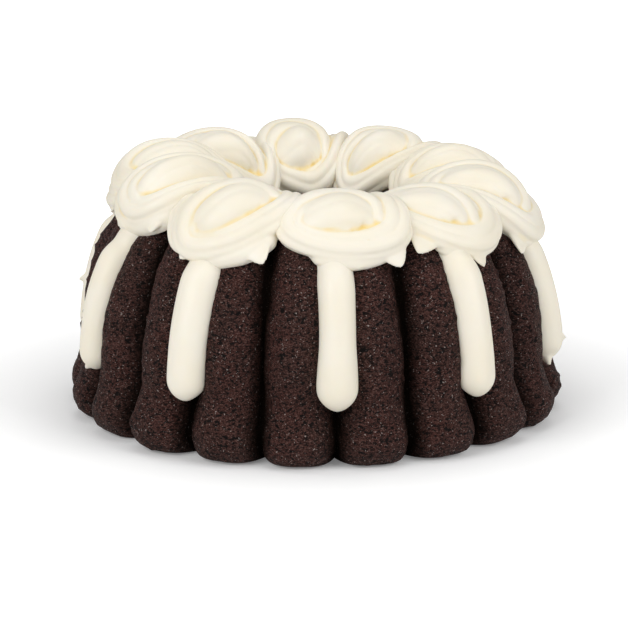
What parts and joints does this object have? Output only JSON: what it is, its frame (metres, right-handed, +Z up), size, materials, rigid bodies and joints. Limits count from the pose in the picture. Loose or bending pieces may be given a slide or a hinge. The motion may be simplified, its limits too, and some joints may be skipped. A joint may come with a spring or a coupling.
{
  "type": "bundt cake",
  "caption": "Fluted chocolate ring cake with a bulging foot, smooth ropes of cream icing down its grooves and piped icing swirls around its top.",
  "frame": {"origin": "centre of the cake's underside, on the surface that it stands on", "axes": "+Z up through the centre hole; -Y towards the first rope of icing"},
  "size_m": [0.247, 0.25, 0.1287],
  "materials": {
    "chocolate_cake": "matt, moist crumb with small pores",
    "cream_icing": "soft satin"
  },
  "bodies": {
    "root": {"cake_body": "chocolate_cake", "rope_00": "cream_icing", "rope_01": "cream_icing", "rope_02": "cream_icing", "rope_03": "cream_icing", "rope_04": "cream_icing", "rope_05": "cream_icing", "rope_06": "cream_icing", "rope_07": "cream_icing", "rope_08": "cream_icing", "rope_09": "cream_icing", "rosette_00": "cream_icing", "rosette_01": "cream_icing", "rosette_02": "cream_icing", "rosette_03": "cream_icing", "rosette_04": "cream_icing", "rosette_05": "cream_icing", "rosette_06": "cream_icing", "rosette_07": "cream_icing", "rosette_08": "cream_icing", "rosette_09": "cream_icing"}
  },
  "joints": []
}
